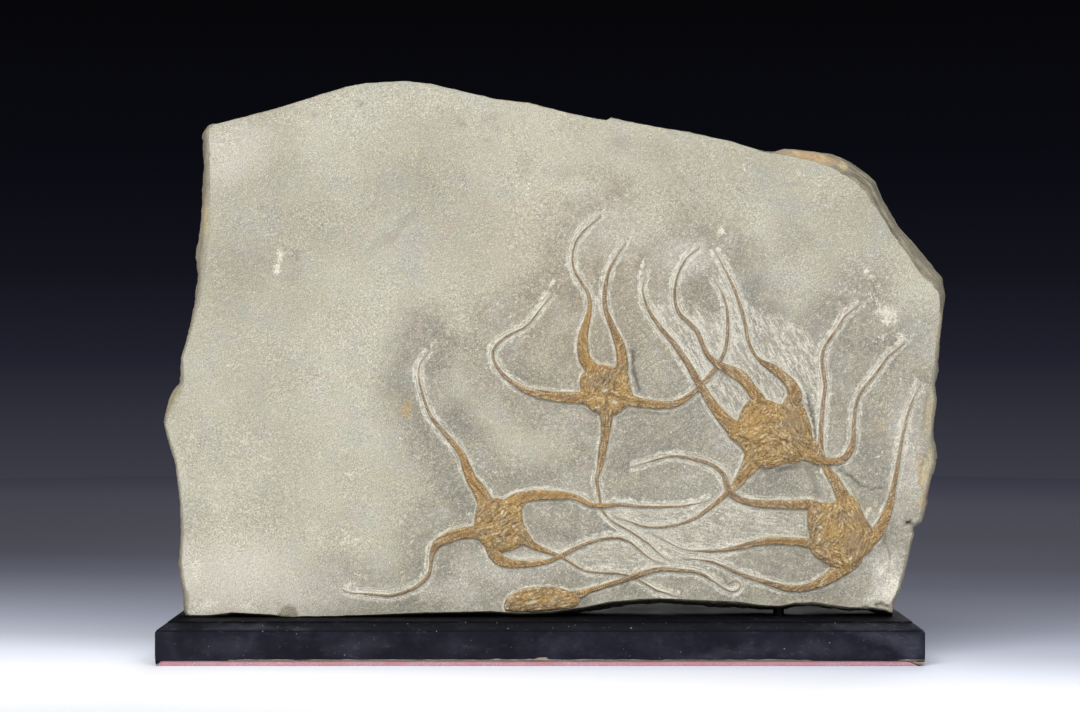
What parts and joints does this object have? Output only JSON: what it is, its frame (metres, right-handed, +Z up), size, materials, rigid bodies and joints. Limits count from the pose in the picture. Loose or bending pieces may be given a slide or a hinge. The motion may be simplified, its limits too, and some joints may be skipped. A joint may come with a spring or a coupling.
{
  "type": "brittle star fossil slab",
  "caption": "Upright slab of siltstone with brittle star fossils raised on its worked face, pinned on a moulded black wooden display base with pink felt under it.",
  "frame": {"origin": "middle of the felt's underside, where the base rests on a table", "axes": "+X along the base to the viewer's right, +Y from the worked face towards the back, +Z up"},
  "size_m": [0.3459, 0.086, 0.2548],
  "materials": {
    "felt": "pink wool felt, matt and a little fuzzy at its edge",
    "board": "satin black paint, lightly scuffed and dusty",
    "pin": "blackened",
    "matrix": "fine-grained grey-tan siltstone, scraped whiter beside the fossils, broken at its edges",
    "fossil": "ochre to brown limonite, finely granular"
  },
  "bodies": {
    "root": {"felt_underlay": "felt", "base_board": "board", "support_pin_left": "pin", "support_pin_right": "pin", "stone_slab": "matrix", "brittle_star_center": "fossil", "brittle_star_left": "fossil", "brittle_star_upper_right": "fossil", "brittle_star_lower_right": "fossil", "brittle_star_bottom_edge": "fossil"}
  },
  "joints": []
}
